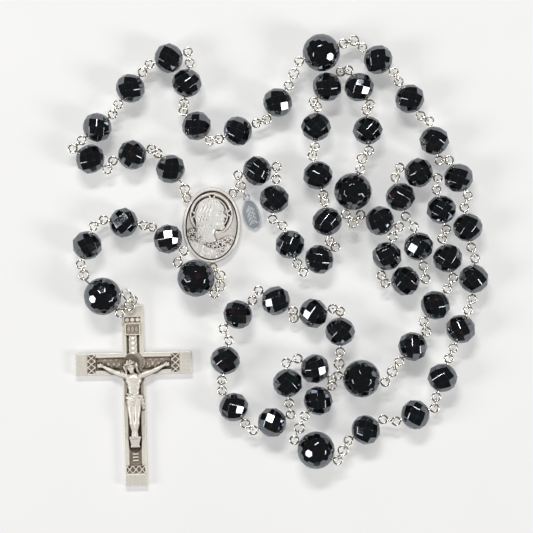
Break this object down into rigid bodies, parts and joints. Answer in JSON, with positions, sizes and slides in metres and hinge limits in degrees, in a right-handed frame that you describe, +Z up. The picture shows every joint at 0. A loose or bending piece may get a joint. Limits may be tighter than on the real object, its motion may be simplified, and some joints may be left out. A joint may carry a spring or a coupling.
{
  "type": "rosary",
  "caption": "Linked prayer chain of faceted dark stone beads on wire eye pins, laid flat, with an oval centre medal, a small oval tag and a crucifix on a pendant chain.",
  "frame": {"origin": "bottom middle of the laid-out rosary's box, on the surface that it lies on", "axes": "+Z up from the surface, +Y towards the top of the laid-out loop, +X to the right"},
  "size_m": [0.1131, 0.1218, 0.0102],
  "materials": {
    "hematite": "polished dark metallic stone, cut in facets",
    "silver_wire": "bright warm silver wire",
    "dark_ring": "bright silver wire",
    "medal_silver": "antiqued silver with darkened hollows",
    "crucifix_silver": "antiqued silver with darkened hollows",
    "tag_metal": "satin light metal"
  },
  "bodies": {
    "medal_and_anchors": {"centre_medal": "medal_silver", "medal_links_left": "silver_wire", "medal_links_right": "silver_wire", "medal_pendant_links": "silver_wire", "our_father_pin_1": "silver_wire", "our_father_pin_2": "silver_wire", "our_father_pin_3": "silver_wire", "our_father_pin_4": "silver_wire", "our_father_links_1": "silver_wire", "our_father_links_2": "silver_wire", "our_father_links_3": "silver_wire", "our_father_links_4": "silver_wire", "mid_decade_link": "silver_wire", "pendant_large_pin_1": "silver_wire", "pendant_link_1_2": "silver_wire", "pendant_small_pin_1": "silver_wire", "pendant_link_2_3": "silver_wire", "tag_ring": "silver_wire"},
    "decade_1": {"decade_1_beads": "hematite", "decade_1_pins": "silver_wire", "decade_1_links": "silver_wire"},
    "decade_2": {"decade_2_beads": "hematite", "decade_2_pins": "silver_wire", "decade_2_links": "silver_wire"},
    "decade_3": {"decade_3_beads": "hematite", "decade_3_pins": "silver_wire", "decade_3_links": "silver_wire"},
    "decade_4": {"decade_4_beads": "hematite", "decade_4_pins": "silver_wire", "decade_4_links": "silver_wire"},
    "decade_5_upper": {"decade_5_upper_beads": "hematite", "decade_5_upper_pins": "silver_wire", "decade_5_upper_links": "silver_wire"},
    "decade_5_lower": {"decade_5_lower_beads": "hematite", "decade_5_lower_pins": "silver_wire", "decade_5_lower_links": "silver_wire"},
    "our_father_bead_1": {"our_father_bead_1": "hematite"},
    "our_father_bead_2": {"our_father_bead_2": "hematite"},
    "our_father_bead_3": {"our_father_bead_3": "hematite"},
    "our_father_bead_4": {"our_father_bead_4": "hematite"},
    "pendant_large_bead_1": {"pendant_large_bead_1": "hematite"},
    "pendant_small_bead_1": {"pendant_small_bead_1": "hematite"},
    "pendant_small_bead_2": {"pendant_small_bead_2": "hematite"},
    "pendant_small_bead_3": {"pendant_small_bead_3": "hematite"},
    "pendant_large_bead_2": {"pendant_large_bead_2": "hematite"},
    "pendant_3": {"pendant_small_pin_2": "silver_wire", "pendant_link_3_4": "silver_wire"},
    "pendant_4": {"pendant_small_pin_3": "silver_wire", "pendant_links_4_5": "silver_wire"},
    "pendant_5": {"pendant_large_pin_2": "silver_wire", "crucifix_links": "silver_wire", "crucifix_ring": "dark_ring"},
    "crucifix": {"crucifix_cross": "crucifix_silver", "corpus": "crucifix_silver", "title_plaque": "crucifix_silver"},
    "tag": {"identity_tag": "tag_metal"}
  },
  "joints": [
    {"name": "decade_1_lift", "type": "hinge", "parent": "medal_and_anchors", "child": "decade_1", "pos_m": [-0.01203, 0.03371, 0.0033], "axis": [0.7298, 0.6828, 0.036], "range_deg": [0, 25]},
    {"name": "decade_2_lift", "type": "hinge", "parent": "medal_and_anchors", "child": "decade_2", "pos_m": [0.01927, 0.00452, 0.00359], "axis": [-0.036, -0.9993, 0.002], "range_deg": [0, 20]},
    {"name": "decade_3_lift", "type": "hinge", "parent": "medal_and_anchors", "child": "decade_3", "pos_m": [0.0116, -0.03418, 0.00407], "axis": [0.5023, 0.8645, 0.019], "range_deg": [0, 25]},
    {"name": "decade_4_lift", "type": "hinge", "parent": "medal_and_anchors", "child": "decade_4", "pos_m": [0.02608, -0.00787, 0.00399], "axis": [0.262, -0.965, -0.007], "range_deg": [0, 30]},
    {"name": "decade_5_upper_lift", "type": "hinge", "parent": "medal_and_anchors", "child": "decade_5_upper", "pos_m": [0.01641, 0.02966, 0.00441], "axis": [0.9965, -0.061, -0.058], "range_deg": [0, 30]},
    {"name": "decade_5_lower_lift", "type": "hinge", "parent": "medal_and_anchors", "child": "decade_5_lower", "pos_m": [-0.00127, 0.02542, 0.00341], "axis": [-0.9315, -0.3538, -0.085], "range_deg": [0, 25]},
    {"name": "our_father_bead_1_spin", "type": "hinge", "parent": "medal_and_anchors", "child": "our_father_bead_1", "pos_m": [0.0111, 0.0559, 0.0051], "axis": [0.9272, 0.3746, 0], "continuous": true},
    {"name": "our_father_bead_2_spin", "type": "hinge", "parent": "medal_and_anchors", "child": "our_father_bead_2", "pos_m": [0.0097, -0.0508, 0.0051], "axis": [-0.9063, 0.4226, 0], "continuous": true},
    {"name": "our_father_bead_3_spin", "type": "hinge", "parent": "medal_and_anchors", "child": "our_father_bead_3", "pos_m": [0.0219, -0.0316, 0.0051], "axis": [0.9903, -0.1392, 0], "continuous": true},
    {"name": "our_father_bead_4_spin", "type": "hinge", "parent": "medal_and_anchors", "child": "our_father_bead_4", "pos_m": [0.0196, 0.0186, 0.0051], "axis": [0.306, 0.9418, -0.1392], "continuous": true},
    {"name": "pendant_large_bead_1_spin", "type": "hinge", "parent": "medal_and_anchors", "child": "pendant_large_bead_1", "pos_m": [-0.0225, -0.0046, 0.0051], "axis": [-0.766, 0.6428, 0], "continuous": true},
    {"name": "pendant_small_bead_1_spin", "type": "hinge", "parent": "medal_and_anchors", "child": "pendant_small_bead_1", "pos_m": [-0.0301, 0.0059, 0.0041], "axis": [-0.7877, 0.5936, -0.1651], "continuous": true},
    {"name": "pendant_small_bead_2_spin", "type": "hinge", "parent": "pendant_3", "child": "pendant_small_bead_2", "pos_m": [-0.042, 0.0103, 0.0041], "axis": [-0.9901, 0.1391, -0.0174], "continuous": true},
    {"name": "pendant_small_bead_3_spin", "type": "hinge", "parent": "pendant_4", "child": "pendant_small_bead_3", "pos_m": [-0.0518, 0.0042, 0.0041], "axis": [-0.3256, -0.9455, 0], "continuous": true},
    {"name": "pendant_large_bead_2_spin", "type": "hinge", "parent": "pendant_5", "child": "pendant_large_bead_2", "pos_m": [-0.0476, -0.0095, 0.0051], "axis": [0.7176, -0.693, -0.0698], "continuous": true},
    {"name": "pendant_3_lift", "type": "hinge", "parent": "medal_and_anchors", "child": "pendant_3", "pos_m": [-0.03607, 0.00942, 0.0041], "axis": [-0.6, 0.8, 0], "range_deg": [0, 25]},
    {"name": "pendant_4_lift", "type": "hinge", "parent": "pendant_3", "child": "pendant_4", "pos_m": [-0.04944, 0.00973, 0.00399], "axis": [-1, 0, 0], "range_deg": [0, 25]},
    {"name": "pendant_5_lift", "type": "hinge", "parent": "pendant_4", "child": "pendant_5", "pos_m": [-0.05189, -0.00545, 0.00531], "axis": [-1, 0, 0], "range_deg": [0, 25]},
    {"name": "crucifix_swing", "type": "hinge", "parent": "pendant_5", "child": "crucifix", "pos_m": [-0.0396, -0.0106, 0.0013], "axis": [0, 0, 1], "range_deg": [-15, 25]},
    {"name": "tag_lift", "type": "hinge", "parent": "medal_and_anchors", "child": "tag", "pos_m": [-0.00933, 0.01821, 0.0009], "axis": [-0.9564, -0.2921, 0], "range_deg": [0, 25]}
  ]
}
